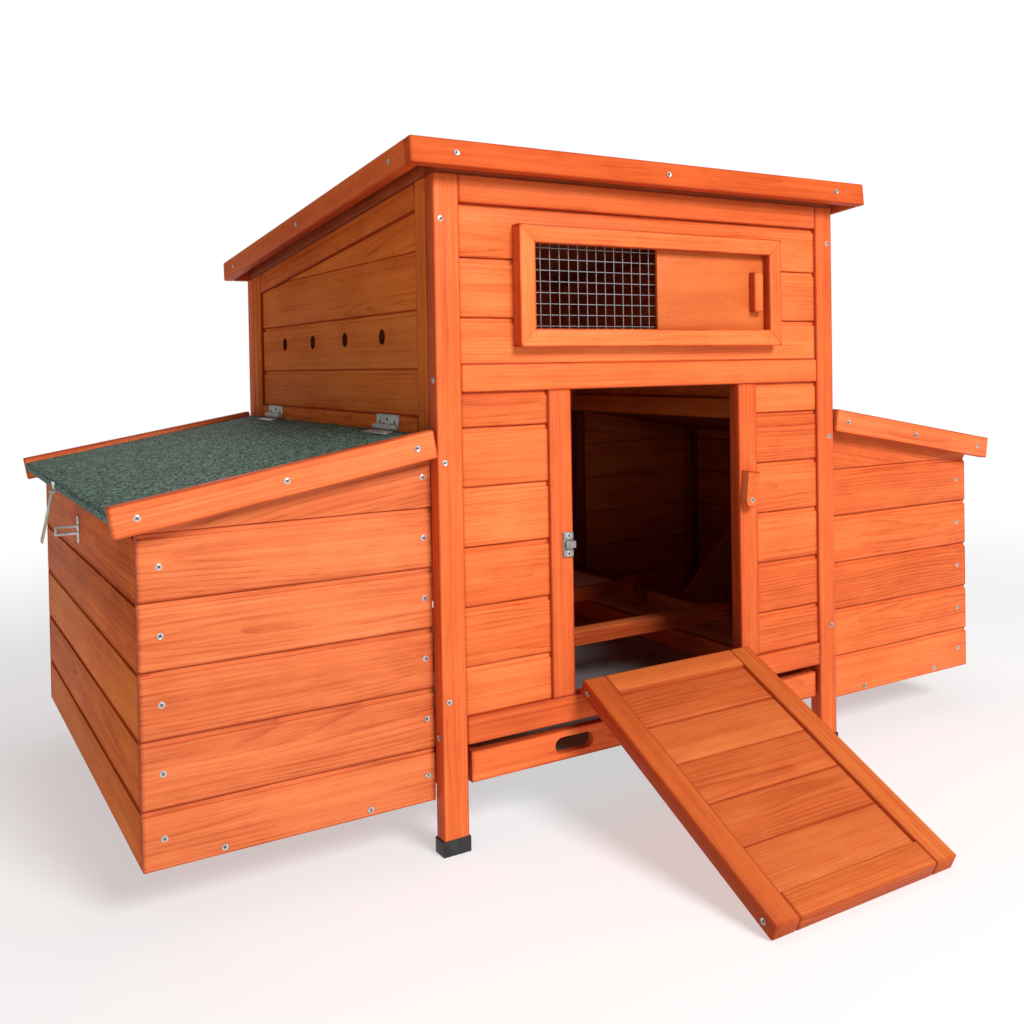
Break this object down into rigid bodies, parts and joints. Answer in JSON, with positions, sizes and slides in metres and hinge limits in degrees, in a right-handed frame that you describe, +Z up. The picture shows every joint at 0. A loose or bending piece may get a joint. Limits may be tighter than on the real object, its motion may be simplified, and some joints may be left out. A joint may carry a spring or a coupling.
{
  "type": "chicken coop",
  "caption": "Raised wooden chicken coop with hinged-lid nest boxes on both sides, a ramp door, a sliding mesh window, perches and a pull-out tray.",
  "frame": {"origin": "middle of the coop's footprint, with the ramp down, on the ground", "axes": "+X across the house from the left nest box to the right, +Y from the doorway to the back, +Z up"},
  "size_m": [1.5054, 1.2136, 0.9029],
  "materials": {
    "board_wood": "satin stained fir",
    "foot_plastic": "black moulded plastic",
    "frame_wood": "satin stained fir",
    "inner_wood": "satin stained fir",
    "lid_felt": "green mineral roofing felt",
    "lid_wood": "satin stained fir",
    "mesh_wire": "galvanised welded mesh",
    "moulding_wood": "satin stained fir",
    "perch_wood": "satin stained fir",
    "plywood": "smooth stained plywood",
    "ramp_board_wood": "satin stained fir",
    "ramp_wood": "satin stained fir",
    "roof_felt": "green mineral roofing felt",
    "roof_panel": "plain board",
    "roof_wood": "satin stained fir",
    "screw_zinc": "zinc-plated steel",
    "side_board_wood": "satin stained fir",
    "tray_metal": "galvanised sheet",
    "tray_wood": "satin stained fir",
    "zinc": "zinc-plated steel"
  },
  "bodies": {
    "house": {"door_fittings": "zinc", "door_posts": "frame_wood", "foot_caps": "foot_plastic", "front_legs": "frame_wood", "front_lower_boards": "board_wood", "front_rails": "frame_wood", "front_upper_boards": "board_wood", "gable_frames": "frame_wood", "house_screws": "screw_zinc", "left_gable_boards": "side_board_wood", "left_nest_end": "side_board_wood", "left_nest_front": "board_wood", "left_nest_rear": "board_wood", "lid_wall_leaves": "zinc", "nest_cleats": "inner_wood", "nest_dividers": "inner_wood", "nest_floors": "inner_wood", "perch_brackets": "inner_wood", "rear_boards": "board_wood", "rear_legs": "frame_wood", "rear_rails": "frame_wood", "right_gable_boards": "side_board_wood", "right_nest_end": "side_board_wood", "right_nest_front": "board_wood", "right_nest_rear": "board_wood", "roof_board": "roof_panel", "roof_fascias": "roof_wood", "roof_felt": "roof_felt", "roof_rafters": "inner_wood", "side_sills": "inner_wood", "staples": "zinc", "tray_runners": "inner_wood", "window_mesh": "mesh_wire", "window_moulding": "moulding_wood", "ramp_sill_leaves": "zinc"},
    "left_lid": {"left_lid_board": "inner_wood", "left_lid_felt": "lid_felt", "left_lid_battens": "lid_wood", "left_lid_metalwork": "zinc", "left_lid_screws": "screw_zinc"},
    "right_lid": {"right_lid_board": "inner_wood", "right_lid_felt": "lid_felt", "right_lid_battens": "lid_wood", "right_lid_metalwork": "zinc", "right_lid_screws": "screw_zinc"},
    "left_hasp": {"left_hasp_strap": "zinc"},
    "right_hasp": {"right_hasp_strap": "zinc"},
    "ramp": {"ramp_stiles": "ramp_wood", "ramp_rails": "ramp_wood", "ramp_boards": "ramp_board_wood", "ramp_leaves": "zinc", "ramp_screws": "screw_zinc"},
    "window_panel": {"sliding_panel": "plywood", "panel_handle": "moulding_wood"},
    "tray": {"tray_front": "tray_wood", "tray_pan": "tray_metal", "tray_sides": "tray_wood"},
    "turn_button": {"turn_button": "moulding_wood"},
    "front_perch": {"front_perch": "perch_wood"},
    "rear_perch": {"rear_perch": "perch_wood"}
  },
  "joints": [
    {"name": "ramp_hinge", "type": "hinge", "parent": "house", "child": "ramp", "pos_m": [0, -0.22238, 0.173], "axis": [-1, 0, 0], "range_deg": [0, 115.32]},
    {"name": "left_lid_hinge", "type": "hinge", "parent": "house", "child": "left_lid", "pos_m": [-0.355, 0.18662, 0.54], "axis": [0, 1, 0], "range_deg": [0, 82]},
    {"name": "right_lid_hinge", "type": "hinge", "parent": "house", "child": "right_lid", "pos_m": [0.355, 0.18662, 0.54], "axis": [0, -1, 0], "range_deg": [0, 82]},
    {"name": "left_hasp_hinge", "type": "hinge", "parent": "left_lid", "child": "left_hasp", "pos_m": [-0.73698, 0.22162, 0.45423], "axis": [0, 1, 0], "range_deg": [-12, 90]},
    {"name": "right_hasp_hinge", "type": "hinge", "parent": "right_lid", "child": "right_hasp", "pos_m": [0.73698, 0.22162, 0.45423], "axis": [0, -1, 0], "range_deg": [-12, 90]},
    {"name": "window_slide", "type": "slide", "parent": "house", "child": "window_panel", "axis": [1, 0, 0], "range_m": [-0.212, 0]},
    {"name": "tray_slide", "type": "slide", "parent": "house", "child": "tray", "axis": [0, -1, 0], "range_m": [0, 0.08]},
    {"name": "turn_button_pivot", "type": "hinge", "parent": "house", "child": "turn_button", "pos_m": [0.161, -0.21838, 0.413], "axis": [0, 1, 0], "continuous": true},
    {"name": "front_perch_lift", "type": "slide", "parent": "house", "child": "front_perch", "axis": [0, 0, 1], "range_m": [0, 0.045]},
    {"name": "rear_perch_lift", "type": "slide", "parent": "house", "child": "rear_perch", "axis": [0, 0, 1], "range_m": [0, 0.045]}
  ]
}
